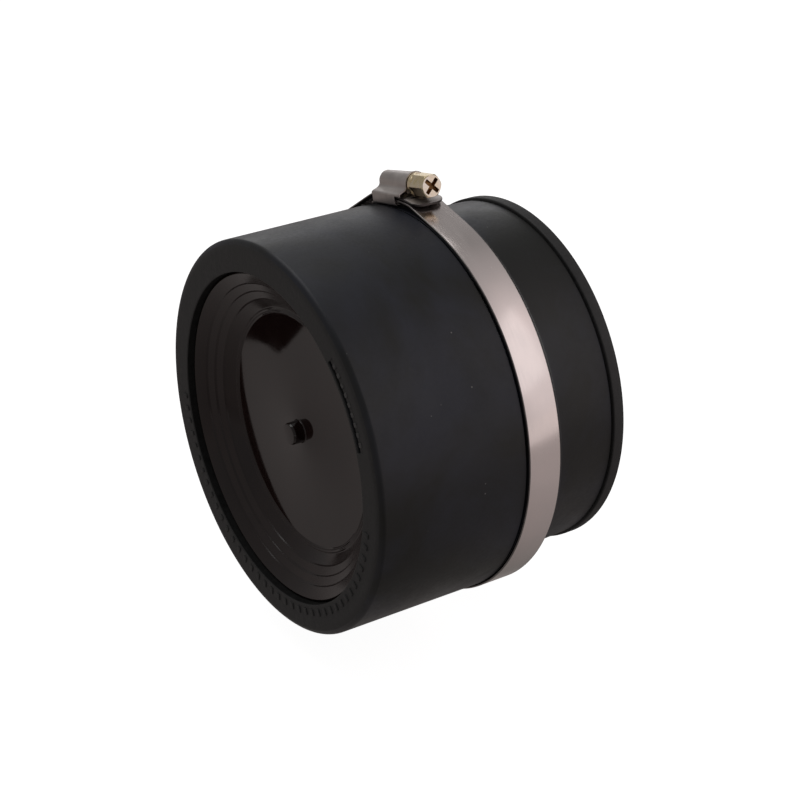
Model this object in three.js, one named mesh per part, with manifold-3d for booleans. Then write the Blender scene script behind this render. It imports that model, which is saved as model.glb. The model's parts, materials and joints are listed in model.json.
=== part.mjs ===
// Flexible pipe coupling: a moulded rubber socket for a 110 mm pipe. Its thick end is
// closed by a dished plug, and a worm-drive clamp sits in the seat round its middle.
// Millimetres. X runs along the axis from the closed end to the open end, the origin is
// on the axis at the open mouth, and +Z is up, with the clamp's housing near the top.

import * as THREE from 'three';
import { mergeVertices } from 'three/addons/utils/BufferGeometryUtils.js';
import Module from 'manifold-3d';

// Rubber body, measured along the axis from the closed end's face
const LENGTH = 97.2;
const FACE_OUTER_R = 65.6;
const FACE_CORNER = { axial: 2, radial: 3.5 };
const THICK_END = 53.8;
const THICK_END_R = 65.8;
const THICK_EDGE = 0.8;
const CHANNEL_WIDTH = 0.6;
const CHANNEL_R = 64.2;
const SEAT_END = 67;
const SEAT_R = 65.6;
const SHOULDER_EDGE = 0.8;
const SHOULDER_FILLET = 4.9;
const SLEEVE_END = 92.7;
const SLEEVE_END_R = 59;
const LIP_GROOVE_DEPTH = 0.7;
const LIP_GROOVE_WIDTH = 0.4;
const LIP_GROOVE_SLOPE = 0.1;
const LIP_R = 59.9;
const LIP_EDGE = 0.5;
const BORE_R = 55;
const MOUTH_CHAMFER = 1.3;
const RIB_STARTS = [85, 76, 67];
const RIB_WIDTH = 2.6;
const RIB_HEIGHT = 0.8;
const LEDGE_START = 22;
const LEDGE_END = 25.4;
const LEDGE_R = 50.8;
const LEDGE_EDGE = 0.8;
const RECESS_R = 55.1;
const RECESS_CHAMFER = 0.4;

// Raised bars and the sunk panel on the closed end's face
const BAR_COUNT = 38;
const BAR_FIRST = 97;
const BAR_LAST = 262;
const BAR_SIZE = { radial: 2.5, tangential: 1.7, height: 0.35, root: 0.5 };
const BAR_R = 57.7;
const PANEL = { first: 41, last: 70, innerR: 56.4, outerR: 59.7, depth: 0.5 };

// Dished plug
const GAP = 0.3;
const PLUG_R = 54.75;
const PLUG_FRONT = 2.3;
const PLUG_RIM = 0.6;
const PLUG_WALL = 2.6;
const DISC_DEPTH = 11.4;
const DISC_R = 39.3;
const BEAD_WIDTH = 1.8;
const BEAD_HEIGHT = 0.4;
const STEP_RADII = [50.2, 47.3, 44.4];
const STEP_DROP = 0.4;
const NUB_R = 3.8;
const NUB_HEIGHT = 4.2;

// Clamp: strap, saddle, housing and screw, about the same axis
const CLAMP_ANGLE = -13;
const CLAMP_CENTRE = 60.2;
const STRAP_WIDTH = 12;
const STRAP_THICKNESS = 0.7;
const STRAP_R = 66.35;
const LOWER_R = 68.15;
const UPPER_R = 69.15;
const FIXED_TIP_ANGLE = -4.2;
const FIXED_BEND_ANGLE = 12;
const FEED_BEND_ANGLE = -6.2;
const FEED_END_ANGLE = -4.5;
const TAIL_START_ANGLE = -1.7;
const TAIL_END_ANGLE = 15.7;
const TAIL_CORNER = 3.6;
const SLOT_COUNT = 5;
const SLOT_PITCH = 3;
const SLOT_SIZE = { length: 6.6, width: 1 };
const SLOT_LEAN = 10;
const SLOT_FIRST = 0.8;
const CUT_HEIGHT = 4;
const SADDLE_R = 67.2;
const SADDLE_THICKNESS = 0.6;
const SADDLE_WIDTH = 10;
const SADDLE_TIP_ANGLE = -8.2;
const SADDLE_TIP_R = 66.3;
const SADDLE_BEND_ANGLE = -5.2;
const SADDLE_END_ANGLE = 5;
const AXIS_H = 72.4;
const HOUSING_START = -6;
const HOUSING_END = 11;
const SKIRT_START = -5.6;
const SKIRT_END = 7.4;
const HOUSING_WALL = 0.5;
const ARCH_R = 3.3;
const ARCH_WIDENING = 0.18;
const FOOT_BOTTOM = 69.3;
const FOOT_TOP = 69.5;
const FOOT_STAND = 1;
const FOOT_RISE = 0.5;
const SKIRT_HALF = 6.8;
const SKIRT_TOP = 69.45;
const SKIRT_BOTTOM = 66.1;
const FOLD_WIDTH = 1.8;
const END_WALL_BOTTOM = 69.9;
const BACK_WALL = 0.6;
const FRONT_WALL = 0.8;
const WORM_R = 2.55;
const WORM_START = -5;
const WORM_END = 9.6;
const NECK_R = 1.9;
const NECK_LIP_R = 2.3;
const PILOT_R = 1.2;
const PILOT_START = -6.4;
const PILOT_HOLE_R = 1.6;
const COLLAR_START = 11.3;
const COLLAR_END = 13.2;
const COLLAR_R = 3.8;
const HEX_END = 20.3;
const HEX_FLATS = 7;
const HEX_CHAMFER = 0.6;
const RECESS = { length: 6, width: 1.4, depth: 1.8 };

// Facets
const BODY_SEGMENTS = 64;
const STRAP_SEGMENTS = 84;
const SMALL_SEGMENTS = 24;

const RUBBER = { color: 0x1b1b1c, roughness: 0.72, metalness: 0 };
const PLUG_PLASTIC = { color: 0x171412, roughness: 0.22, metalness: 0 };
const STAINLESS = { color: 0xc9c5c1, roughness: 0.24, metalness: 1 };
const ZINC = { color: 0xd9c58f, roughness: 0.35, metalness: 1 };

const wasm = await Module();
wasm.setup();

const radians = THREE.MathUtils.degToRad;
const alongAxis = (depth) => depth - LENGTH;

// Solid helpers

function solid(geometry) {
  const bare = geometry.clone();
  bare.deleteAttribute('normal');
  bare.deleteAttribute('uv');
  const merged = mergeVertices(bare, 1e-4);
  const kept = [];
  for (let i = 0; i < merged.index.count; i += 3) {
    const [a, b, c] = merged.index.array.slice(i, i + 3);
    if (a !== b && b !== c && c !== a) kept.push(a, b, c);
  }
  const mesh = new wasm.Mesh({
    numProp: 3,
    vertProperties: merged.attributes.position.array,
    triVerts: new Uint32Array(kept),
  });
  return new wasm.Manifold(mesh);
}

function geometryOf(manifold) {
  const mesh = manifold.getMesh();
  const geometry = new THREE.BufferGeometry();
  geometry.setAttribute('position', new THREE.BufferAttribute(mesh.vertProperties, 3));
  geometry.setIndex(new THREE.BufferAttribute(mesh.triVerts, 1));
  geometry.computeVertexNormals();
  return geometry;
}

function named(name, geometry, look) {
  const mesh = new THREE.Mesh(geometry, new THREE.MeshStandardMaterial(look));
  mesh.name = name;
  return mesh;
}

// An arc in a profile plane, from one angle to another in degrees
function arc(cx, cy, radius, from, to, steps) {
  const points = [];
  for (let i = 0; i <= steps; i += 1) {
    const a = radians(from + ((to - from) * i) / steps);
    points.push([cx + radius * Math.cos(a), cy + radius * Math.sin(a)]);
  }
  return points;
}

// A profile of [depth, radius] points turned about the X axis
function turned(profile, segments = BODY_SEGMENTS) {
  const points = profile.map(([depth, r]) => new THREE.Vector2(r, alongAxis(depth)));
  return new THREE.LatheGeometry(points, segments).rotateZ(-Math.PI / 2);
}

// Rubber body

// The rounded corner of the closed end, a quarter of an ellipse
function faceCorner() {
  const { axial, radial } = FACE_CORNER;
  const quarter = arc(0, 0, 1, 180, 90, 5);
  return quarter.map(([x, y]) => [axial * (1 + x), FACE_OUTER_R - radial * (1 - y)]);
}

function outerProfile() {
  const seatStart = THICK_END + CHANNEL_WIDTH;
  const lipStart = SLEEVE_END + LIP_GROOVE_WIDTH + LIP_GROOVE_SLOPE;
  const wallX = SEAT_END + SHOULDER_EDGE;
  const fillet = SHOULDER_FILLET;
  const wallR = SEAT_R - SHOULDER_EDGE;
  return [
    [0, RECESS_R + RECESS_CHAMFER],
    ...faceCorner(),
    ...arc(THICK_END - THICK_EDGE, THICK_END_R - THICK_EDGE, THICK_EDGE, 90, 0, 2),
    [THICK_END, CHANNEL_R],
    [seatStart, CHANNEL_R],
    [seatStart, SEAT_R],
    ...arc(SEAT_END, wallR, SHOULDER_EDGE, 90, 0, 2),
    ...arc(wallX + fillet, wallR, fillet, 180, 270, 5).slice(1),
    [SLEEVE_END, SLEEVE_END_R],
    [SLEEVE_END + LIP_GROOVE_SLOPE, SLEEVE_END_R - LIP_GROOVE_DEPTH],
    [lipStart - LIP_GROOVE_SLOPE, SLEEVE_END_R - LIP_GROOVE_DEPTH],
    [lipStart, LIP_R - LIP_EDGE],
    [lipStart + LIP_EDGE, LIP_R],
    [LENGTH - LIP_EDGE, LIP_R],
    [LENGTH, LIP_R - LIP_EDGE],
  ];
}

function boreProfile() {
  const ribs = RIB_STARTS.flatMap((start) => [
    [start, BORE_R],
    [start - RIB_WIDTH / 2, BORE_R - RIB_HEIGHT],
    [start - RIB_WIDTH, BORE_R],
  ]);
  return [
    [LENGTH, BORE_R + MOUTH_CHAMFER],
    [LENGTH - MOUTH_CHAMFER, BORE_R],
    ...ribs,
    [LEDGE_END, BORE_R],
    [LEDGE_END, LEDGE_R + LEDGE_EDGE],
    [LEDGE_END - LEDGE_EDGE, LEDGE_R],
    [LEDGE_START, LEDGE_R],
    [LEDGE_START, RECESS_R],
    [RECESS_CHAMFER, RECESS_R],
    [0, RECESS_R + RECESS_CHAMFER],
  ];
}

// A bar on the face, at an angle from +Z towards -Y, with its root inside the rubber
function faceBar(angle) {
  const { radial, tangential, height, root } = BAR_SIZE;
  const bar = new THREE.BoxGeometry(height + root, tangential, radial);
  bar.translate(alongAxis((root - height) / 2), 0, BAR_R);
  return bar.rotateX(radians(angle));
}

// A block that cuts the sunk panel: a ring sector standing through the face
function panelCutter() {
  const { first, last, innerR, outerR, depth } = PANEL;
  const sector = new THREE.Shape();
  sector.absarc(0, 0, outerR, radians(first), radians(last), false);
  sector.absarc(0, 0, innerR, radians(last), radians(first), true);
  const options = { depth: 2 * depth, bevelEnabled: false, curveSegments: 10 };
  const block = new THREE.ExtrudeGeometry(sector, options).translate(0, 0, -depth);
  const toZ = new THREE.Vector3(0, 0, 1);
  const toMinusY = new THREE.Vector3(0, -1, 0);
  const toX = new THREE.Vector3(1, 0, 0);
  block.applyMatrix4(new THREE.Matrix4().makeBasis(toZ, toMinusY, toX));
  return block.translate(alongAxis(0), 0, 0);
}

function couplingBody() {
  let body = solid(turned([...outerProfile(), ...boreProfile()]));
  for (let i = 0; i < BAR_COUNT; i += 1) {
    const angle = BAR_FIRST + ((BAR_LAST - BAR_FIRST) * i) / (BAR_COUNT - 1);
    body = body.add(solid(faceBar(angle)));
  }
  body = body.subtract(solid(panelCutter()));
  return named('coupling_body', geometryOf(body), RUBBER);
}

// Dished plug: a stepped flank runs in from the rim to a flat disc with a nub on it

function flankDepth(r) {
  const run = (PLUG_R - r) / (PLUG_R - DISC_R);
  return PLUG_FRONT + run * (DISC_DEPTH - PLUG_FRONT);
}

function plugFront() {
  const steps = [...STEP_RADII].reverse().flatMap((r) => [
    [flankDepth(r) + STEP_DROP / 2, r],
    [flankDepth(r) - STEP_DROP / 2, r + STEP_DROP],
  ]);
  return [
    [DISC_DEPTH - NUB_HEIGHT, 0],
    [DISC_DEPTH - NUB_HEIGHT, NUB_R],
    [DISC_DEPTH, NUB_R],
    [DISC_DEPTH, DISC_R],
    [DISC_DEPTH - BEAD_HEIGHT, DISC_R + BEAD_WIDTH / 3],
    [DISC_DEPTH - BEAD_HEIGHT, DISC_R + (2 * BEAD_WIDTH) / 3],
    [DISC_DEPTH - BEAD_HEIGHT / 2, DISC_R + BEAD_WIDTH],
    ...steps,
    [PLUG_FRONT, PLUG_R - PLUG_RIM],
    [PLUG_FRONT + PLUG_RIM, PLUG_R],
  ];
}

function plugBack() {
  const innerR = PLUG_R - PLUG_WALL;
  const back = LEDGE_START - GAP;
  return [
    [back, PLUG_R],
    [back, innerR],
    [flankDepth(innerR) + PLUG_WALL, innerR],
    [DISC_DEPTH + PLUG_WALL, DISC_R],
    [DISC_DEPTH + PLUG_WALL, 0],
  ];
}

const endPlug = () => named('end_plug', turned([...plugFront(), ...plugBack()]), PLUG_PLASTIC);

// Clamp. Its own frame has the housing at the top: t runs round the strap towards the
// screw head (-Y), h is the height above the axis (+Z), and widths lie along X.

const polar = (angle, r) => [r * Math.sin(radians(angle)), r * Math.cos(radians(angle))];

function polarArc(r, from, to, steps) {
  const points = [];
  for (let i = 0; i <= steps; i += 1) points.push(polar(from + ((to - from) * i) / steps, r));
  return points;
}

// The angle from a point at radius r to where its tangent line meets the strap's circle
const tangentAngle = (r) => THREE.MathUtils.radToDeg(Math.acos(STRAP_R / r));

// A strip of even thickness along a path of [t, h] points
function stripShape(path, thickness) {
  const side = (sign) => path.map(([t, h], i) => {
    const [t0, h0] = path[Math.max(i - 1, 0)];
    const [t1, h1] = path[Math.min(i + 1, path.length - 1)];
    const run = Math.hypot(t1 - t0, h1 - h0);
    const offset = (sign * thickness) / 2 / run;
    return new THREE.Vector2(t - (h1 - h0) * offset, h + (t1 - t0) * offset);
  });
  return new THREE.Shape([...side(1), ...side(-1).reverse()]);
}

// A [t, h] shape made as wide as given along X, centred on the strap
function acrossStrap(shape, width) {
  const geometry = new THREE.ExtrudeGeometry(shape, { depth: width, bevelEnabled: false });
  const toT = new THREE.Vector3(0, -1, 0);
  const toH = new THREE.Vector3(0, 0, 1);
  const back = new THREE.Vector3(-1, 0, 0);
  geometry.applyMatrix4(new THREE.Matrix4().makeBasis(toT, toH, back));
  return geometry.translate(alongAxis(CLAMP_CENTRE) + width / 2, 0, 0);
}

// A [across, h] shape made to run along t between two places, each point then moved
function alongT(shape, start, end, move = (...point) => point) {
  const settings = { depth: end - start, bevelEnabled: false, curveSegments: 8 };
  const geometry = new THREE.ExtrudeGeometry(shape, settings).translate(0, 0, start);
  const { position } = geometry.attributes;
  for (let i = 0; i < position.count; i += 1) {
    position.setXYZ(i, ...move(position.getX(i), position.getY(i), position.getZ(i)));
  }
  const across = new THREE.Vector3(1, 0, 0);
  const toH = new THREE.Vector3(0, 0, 1);
  const toT = new THREE.Vector3(0, -1, 0);
  geometry.applyMatrix4(new THREE.Matrix4().makeBasis(across, toH, toT));
  return geometry.translate(alongAxis(CLAMP_CENTRE), 0, 0);
}

function clampBand() {
  const fixedMeets = FIXED_BEND_ANGLE + tangentAngle(LOWER_R);
  const feedMeets = 360 + FEED_BEND_ANGLE - tangentAngle(UPPER_R);
  const path = [
    ...polarArc(LOWER_R, FIXED_TIP_ANGLE, FIXED_BEND_ANGLE, 4),
    ...polarArc(STRAP_R, fixedMeets, feedMeets, STRAP_SEGMENTS),
    ...polarArc(UPPER_R, 360 + FEED_BEND_ANGLE, 360 + FEED_END_ANGLE, 2),
  ];
  const shape = stripShape(path, STRAP_THICKNESS);
  return named('clamp_band', acrossStrap(shape, STRAP_WIDTH), STAINLESS);
}

// The free end in plan, round-cornered at the tip and reaching a degree past its back
function tailPlan() {
  const half = STRAP_WIDTH / 2;
  const [back] = polar(TAIL_START_ANGLE - 1, UPPER_R);
  const [tip] = polar(TAIL_END_ANGLE, UPPER_R);
  const plan = new THREE.Shape();
  plan.moveTo(-half, back);
  plan.lineTo(half, back);
  plan.lineTo(half, tip - TAIL_CORNER);
  plan.absarc(half - TAIL_CORNER, tip - TAIL_CORNER, TAIL_CORNER, 0, Math.PI / 2, false);
  plan.absarc(TAIL_CORNER - half, tip - TAIL_CORNER, TAIL_CORNER, Math.PI / 2, Math.PI, false);
  return plan;
}

// A plan shape [across, t] standing up along h, to cut the strap to its outline
function standing(shape, from, to) {
  const settings = { depth: to - from, bevelEnabled: false, curveSegments: 6 };
  const geometry = new THREE.ExtrudeGeometry(shape, settings).translate(0, 0, from);
  const across = new THREE.Vector3(1, 0, 0);
  const toT = new THREE.Vector3(0, -1, 0);
  const down = new THREE.Vector3(0, 0, -1);
  geometry.applyMatrix4(new THREE.Matrix4().makeBasis(across, toT, down));
  return geometry.translate(alongAxis(CLAMP_CENTRE), 0, 0);
}

function bandTail() {
  const path = polarArc(UPPER_R, TAIL_START_ANGLE, TAIL_END_ANGLE, 10);
  let tail = solid(acrossStrap(stripShape(path, STRAP_THICKNESS), STRAP_WIDTH));
  tail = tail.intersect(solid(standing(tailPlan(), -UPPER_R - CUT_HEIGHT, 0)));
  for (let i = 0; i < SLOT_COUNT; i += 1) {
    const slot = new THREE.BoxGeometry(SLOT_SIZE.length, SLOT_SIZE.width, CUT_HEIGHT);
    slot.rotateZ(radians(-SLOT_LEAN));
    slot.translate(alongAxis(CLAMP_CENTRE), 0, UPPER_R);
    slot.rotateX((SLOT_FIRST + i * SLOT_PITCH) / UPPER_R);
    tail = tail.subtract(solid(slot));
  }
  return named('band_tail', geometryOf(tail), STAINLESS);
}

function clampSaddle() {
  const path = [
    polar(SADDLE_TIP_ANGLE, SADDLE_TIP_R),
    ...polarArc(SADDLE_R, SADDLE_BEND_ANGLE, SADDLE_END_ANGLE, 4),
  ];
  const shape = stripShape(path, SADDLE_THICKNESS);
  return named('clamp_saddle', acrossStrap(shape, SADDLE_WIDTH), STAINLESS);
}

// Half of the housing's sheet, from a foot beside the strap up to the arch's top
function archHalf() {
  const foot = SKIRT_HALF - HOUSING_WALL / 2;
  const middle = ARCH_R - HOUSING_WALL / 2;
  const side = new THREE.CubicBezierCurve(
    new THREE.Vector2(foot, FOOT_TOP),
    new THREE.Vector2(foot, FOOT_TOP + FOOT_STAND),
    new THREE.Vector2(middle, FOOT_TOP + FOOT_RISE),
    new THREE.Vector2(middle, AXIS_H),
  );
  const points = side.getPoints(10).slice(0, -1).map(({ x, y }) => [x, y]);
  return [[foot, FOOT_BOTTOM], ...points, ...arc(0, AXIS_H, middle, 0, 90, 8)];
}

// The arch over the screw, which widens towards its front
function arch() {
  const half = archHalf();
  const mirrored = half.slice(0, -1).reverse().map(([x, h]) => [-x, h]);
  const shape = stripShape([...half, ...mirrored], HOUSING_WALL);
  const widen = (x, h, t) => {
    const growth = (ARCH_WIDENING * (t - HOUSING_START)) / (HOUSING_END - HOUSING_START);
    const above = THREE.MathUtils.clamp((h - FOOT_TOP) / (AXIS_H - FOOT_TOP), 0, 1);
    return [x * (1 + growth * above), h + Math.max(h - AXIS_H, 0) * growth, t];
  };
  return alongT(shape, HOUSING_START, HOUSING_END, widen);
}

// One side skirt, folded in under the saddle, for sign +1 or -1 across
function skirtShape(sign) {
  const outer = SKIRT_HALF * sign;
  const inner = (SKIRT_HALF - HOUSING_WALL) * sign;
  const fold = (SKIRT_HALF - FOLD_WIDTH) * sign;
  const points = [
    [outer, SKIRT_BOTTOM],
    [outer, SKIRT_TOP],
    [inner, SKIRT_TOP],
    [inner, SKIRT_BOTTOM + HOUSING_WALL],
    [fold, SKIRT_BOTTOM + HOUSING_WALL],
    [fold, SKIRT_BOTTOM],
  ];
  return new THREE.Shape(points.map(([x, h]) => new THREE.Vector2(x, h)));
}

// An end wall that fills the arch, with a round hole for the screw
function endWallShape(outer, holeR) {
  const shape = new THREE.Shape();
  shape.moveTo(-outer, END_WALL_BOTTOM);
  shape.lineTo(outer, END_WALL_BOTTOM);
  shape.lineTo(outer, AXIS_H);
  shape.absarc(0, AXIS_H, outer, 0, Math.PI, false);
  const hole = new THREE.Path();
  hole.absarc(0, AXIS_H, holeR, 0, 2 * Math.PI, true);
  shape.holes.push(hole);
  return shape;
}

function clampHousing() {
  let housing = solid(arch());
  for (const sign of [1, -1]) {
    housing = housing.add(solid(alongT(skirtShape(sign), SKIRT_START, SKIRT_END)));
  }
  const backEnd = HOUSING_START + BACK_WALL;
  const frontStart = HOUSING_END - FRONT_WALL;
  const middle = ARCH_R - HOUSING_WALL / 2;
  const frontR = middle * (1 + ARCH_WIDENING);
  const backWall = alongT(endWallShape(middle, PILOT_HOLE_R), HOUSING_START, backEnd);
  const frontWall = alongT(endWallShape(frontR, NECK_LIP_R), frontStart, HOUSING_END);
  housing = housing.add(solid(backWall)).add(solid(frontWall));
  return named('clamp_housing', geometryOf(housing), STAINLESS);
}

// Worm screw, turned about its own axis and laid along t

function screwBlank() {
  const profile = [
    [PILOT_START, 0],
    [PILOT_START, PILOT_R],
    [WORM_START, PILOT_R],
    [WORM_START, WORM_R],
    [WORM_END, WORM_R],
    [WORM_END, NECK_R],
    [COLLAR_START, NECK_R],
    [COLLAR_START, COLLAR_R],
    [COLLAR_END, COLLAR_R],
    [COLLAR_END, 0],
  ];
  const points = profile.map(([t, r]) => new THREE.Vector2(r, t));
  return new THREE.LatheGeometry(points, SMALL_SEGMENTS);
}

// The hexagon, rooted in the middle of the collar, with its end corners turned off
function hexHead() {
  const start = (COLLAR_START + COLLAR_END) / 2;
  const corner = HEX_FLATS / 2 / Math.cos(Math.PI / 6);
  const hex = new THREE.CylinderGeometry(corner, corner, HEX_END - start, 6);
  hex.rotateY(Math.PI / 6).translate(0, (start + HEX_END) / 2, 0);
  const clear = corner + HEX_CHAMFER / 3;
  const envelope = new THREE.LatheGeometry([
    new THREE.Vector2(0, COLLAR_START),
    new THREE.Vector2(clear, COLLAR_START),
    new THREE.Vector2(clear, HEX_END - HEX_CHAMFER),
    new THREE.Vector2(corner - HEX_CHAMFER, HEX_END + HEX_CHAMFER / 6),
    new THREE.Vector2(0, HEX_END + HEX_CHAMFER / 6),
  ], SMALL_SEGMENTS);
  return solid(hex).intersect(solid(envelope));
}

function wormScrew() {
  let screw = solid(screwBlank()).add(hexHead());
  for (const turn of [45, -45]) {
    const cut = new THREE.BoxGeometry(RECESS.length, 2 * RECESS.depth, RECESS.width);
    cut.rotateY(radians(turn)).translate(0, HEX_END, 0);
    screw = screw.subtract(solid(cut));
  }
  const geometry = geometryOf(screw).rotateX(Math.PI);
  const mesh = named('worm_screw', geometry, ZINC);
  mesh.position.set(alongAxis(CLAMP_CENTRE), 0, AXIS_H);
  return mesh;
}

const clamp = new THREE.Group();
clamp.add(clampBand(), bandTail(), clampSaddle(), clampHousing(), wormScrew());
clamp.rotation.x = radians(CLAMP_ANGLE);

const group = new THREE.Group();
group.add(couplingBody(), endPlug(), clamp);

export default group;
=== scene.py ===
"""A flexible rubber pipe coupling with a dished plug and a worm-drive clamp.

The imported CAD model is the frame. Every node of it is replaced here by a finer mesh in the
same place, in metres. X runs along the coupling's axis, from the closed end to the mouth of
the open end at the origin. Angles round that axis are in degrees from +Z towards -Y. The
clamp's pieces are made upright, with the housing on top, and then tilted into place.
"""

import json
import math

import bmesh
import bpy
from mathutils import Matrix, Vector
from mathutils.geometry import interpolate_bezier


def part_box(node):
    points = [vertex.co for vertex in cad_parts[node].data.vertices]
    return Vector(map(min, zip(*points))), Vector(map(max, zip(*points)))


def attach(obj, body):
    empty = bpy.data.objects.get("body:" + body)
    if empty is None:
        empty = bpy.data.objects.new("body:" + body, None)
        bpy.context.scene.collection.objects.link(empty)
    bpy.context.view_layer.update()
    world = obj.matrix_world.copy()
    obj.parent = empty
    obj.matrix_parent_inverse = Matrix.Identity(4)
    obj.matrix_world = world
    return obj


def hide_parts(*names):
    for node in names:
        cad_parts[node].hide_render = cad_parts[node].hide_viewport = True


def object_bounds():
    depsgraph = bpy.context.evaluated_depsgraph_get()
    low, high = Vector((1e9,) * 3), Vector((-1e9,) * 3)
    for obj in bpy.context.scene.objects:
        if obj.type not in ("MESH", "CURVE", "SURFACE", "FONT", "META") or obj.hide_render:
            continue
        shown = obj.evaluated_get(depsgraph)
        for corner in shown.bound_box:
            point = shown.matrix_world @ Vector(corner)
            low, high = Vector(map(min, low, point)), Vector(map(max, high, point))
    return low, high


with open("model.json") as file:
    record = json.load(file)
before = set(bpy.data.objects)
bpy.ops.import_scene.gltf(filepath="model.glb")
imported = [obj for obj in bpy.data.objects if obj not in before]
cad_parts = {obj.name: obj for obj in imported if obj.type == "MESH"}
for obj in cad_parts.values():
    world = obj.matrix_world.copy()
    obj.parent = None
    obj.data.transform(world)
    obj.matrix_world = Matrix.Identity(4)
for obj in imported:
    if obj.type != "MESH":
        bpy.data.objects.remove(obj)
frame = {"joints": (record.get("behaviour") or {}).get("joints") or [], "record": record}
CAD_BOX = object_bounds()

MM = 0.001

# Places that the frame gives
MOUNTS = {mount["name"]: Vector(mount["pos_m"]) for mount in frame["record"]["mounts"]}
JOINTS = {joint["name"]: joint for joint in frame["joints"]}
CLOSED_X = MOUNTS["closed_end_face"].x
LENGTH = MOUNTS["open_end_face"].x - CLOSED_X
CLAMP_X = JOINTS["clamp_turn"]["pos_m"][0]
SCREW_POINT = Vector(JOINTS["screw_turn"]["pos_m"])
AXIS_H = math.hypot(SCREW_POINT.y, SCREW_POINT.z)
CLAMP_TILT = -math.atan2(SCREW_POINT.y, SCREW_POINT.z)
PLUG_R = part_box("end_plug")[1].z
STRAP_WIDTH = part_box("clamp_band")[1].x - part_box("clamp_band")[0].x

# Rubber body: depths are measured from the closed end's face
FACE_OUTER_R = 65.6 * MM
FACE_CORNER = (2 * MM, 3.5 * MM)
THICK_END = 53.8 * MM
THICK_END_R = 65.8 * MM
THICK_EDGE = 0.6 * MM
CHANNEL_WIDTH = 0.6 * MM
CHANNEL_R = 64.2 * MM
SEAT_END = 67.8 * MM
SEAT_R = 65.6 * MM
SHOULDER_EDGE = 0.8 * MM
SHOULDER_FILLET = 4.9 * MM
SLEEVE_START_R = 59.9 * MM
SLEEVE_END = 92.7 * MM
SLEEVE_END_R = 59 * MM
LIP_GROOVE_DEPTH = 0.7 * MM
LIP_GROOVE_WIDTH = 0.5 * MM
LIP_R = 59.9 * MM
LIP_EDGE = 0.5 * MM
BORE_R = 55 * MM
MOUTH_CHAMFER = 1.3 * MM
RIB_STARTS = (85 * MM, 76 * MM, 67 * MM)
RIB_WIDTH = 2.6 * MM
RIB_HEIGHT = 0.8 * MM
LEDGE_START = 22 * MM
LEDGE_END = 25.4 * MM
LEDGE_R = 50.8 * MM
RECESS_R = 55.1 * MM
RECESS_EDGE = 0.45 * MM

# Raised bars, and the sunk panel with a groove on its inner side. The margin before the first
# mark and after the last is in pitches of the marks.
BAR_COUNT = 38
BAR_FIRST = 97
BAR_LAST = 262
BAR_LENGTH = 2.5 * MM
BAR_WIDTH = 1.7 * MM
BAR_HEIGHT = 0.33 * MM
BAR_ROOT = -0.4 * MM
BAR_CORNER = 0.4 * MM
BAR_BEVEL = 0.18 * MM
BAR_R = 57.7 * MM
PANEL_FIRST = 41
PANEL_LAST = 70
PANEL_R = (57.5 * MM, 59.7 * MM)
PANEL_DEPTH = 0.3 * MM
PANEL_SLOPE = 0.2 * MM
PANEL_END_SLOPE = 0.35
GROOVE_R = (56.3 * MM, 57.5 * MM)
GROOVE_DEPTH = 1.2 * MM
GROOVE_SLOPE = 0.25 * MM
MARK_COUNT = 9
MARK_LENGTH = 1.7 * MM
MARK_WIDTH = 1.5 * MM
MARK_TOP = 0.02 * MM
MARK_ROOT = -0.8 * MM
MARK_CORNER = 0.3 * MM
MARK_BEVEL = 0.12 * MM
MARK_SHIFT = 0.1 * MM
MARK_MARGIN = 0.8

# Plug
PLUG_FRONT = 2.3 * MM
PLUG_WALL = 2.6 * MM
DISC_DEPTH = 11.4 * MM
DISC_R = 39.3 * MM
BEAD_WIDTH = 1.8 * MM
BEAD_HEIGHT = 0.4 * MM
STEP_RADII = (50.2 * MM, 47.3 * MM, 44.4 * MM)
STEP_DROP = 0.6 * MM
STEP_RUN = 0.4 * MM
NUB_R = 3.8 * MM
NUB_HEIGHT = 4.2 * MM
PLUG_BACK = 21.7 * MM

# Strap, one spiral: its fixed end lies under the part that comes in again on top
STRAP_THICKNESS = 0.7 * MM
STRAP_EDGE = 0.3 * MM
STRAP_R = 66.33 * MM
LOWER_R = 68.15 * MM
UPPER_R = 69.15 * MM
FIXED_TIP = -4.2
FIXED_BEND = 12
FEED_BEND = -6.2
FEED_END = -4.5
TAIL_START = -1.7
TAIL_END = 15.7
TAIL_CORNER = 3.6 * MM
SLOT_PITCH = 3 * MM
SLOT_FIRST = 0.8 * MM
SLOT_LENGTH = 6.6 * MM
SLOT_WIDTH = 1 * MM
SLOT_CORNER = 0.35 * MM
SLOT_LEAN = 10
SLOT_REACH = 2 * MM
TAIL_SLOTS = 5
FEED_SLOTS = 16
FEED_MARGIN = 2 * MM

# Saddle between the strap's two layers
SADDLE_R = 67.2 * MM
SADDLE_THICKNESS = 0.6 * MM
SADDLE_WIDTH = 10 * MM
SADDLE_EDGE = 0.25 * MM
SADDLE_TIP = -8.2
SADDLE_TIP_R = 66.3 * MM
SADDLE_BEND = -5.2
SADDLE_END = 5

# Housing, along the screw from its back to its front
HOUSING_START = -6 * MM
HOUSING_END = 11 * MM
SKIRT_START = -5.6 * MM
SKIRT_END = 7.4 * MM
HOUSING_WALL = 0.5 * MM
ARCH_R = 3.3 * MM
ARCH_WIDENING = 0.18
SKIRT_HALF = 6.8 * MM
FOOT_BOTTOM = 69.3 * MM
FOOT_TOP = 69.5 * MM
FOOT_STAND = 1 * MM
FOOT_RISE = 0.5 * MM
SKIRT_BOTTOM = 66.1 * MM
FOLD_WIDTH = 1.8 * MM
FRONT_FLARE = 0.22 * MM
END_WALL_BOTTOM = 69.9 * MM
BACK_WALL = 0.6 * MM
FRONT_WALL = 0.8 * MM
WALL_INSET = 0.3 * MM
RIM_LENGTH = 0.15 * MM
RIM_SHARE = 0.45
FLARE_LENGTH = 1.6 * MM

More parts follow.
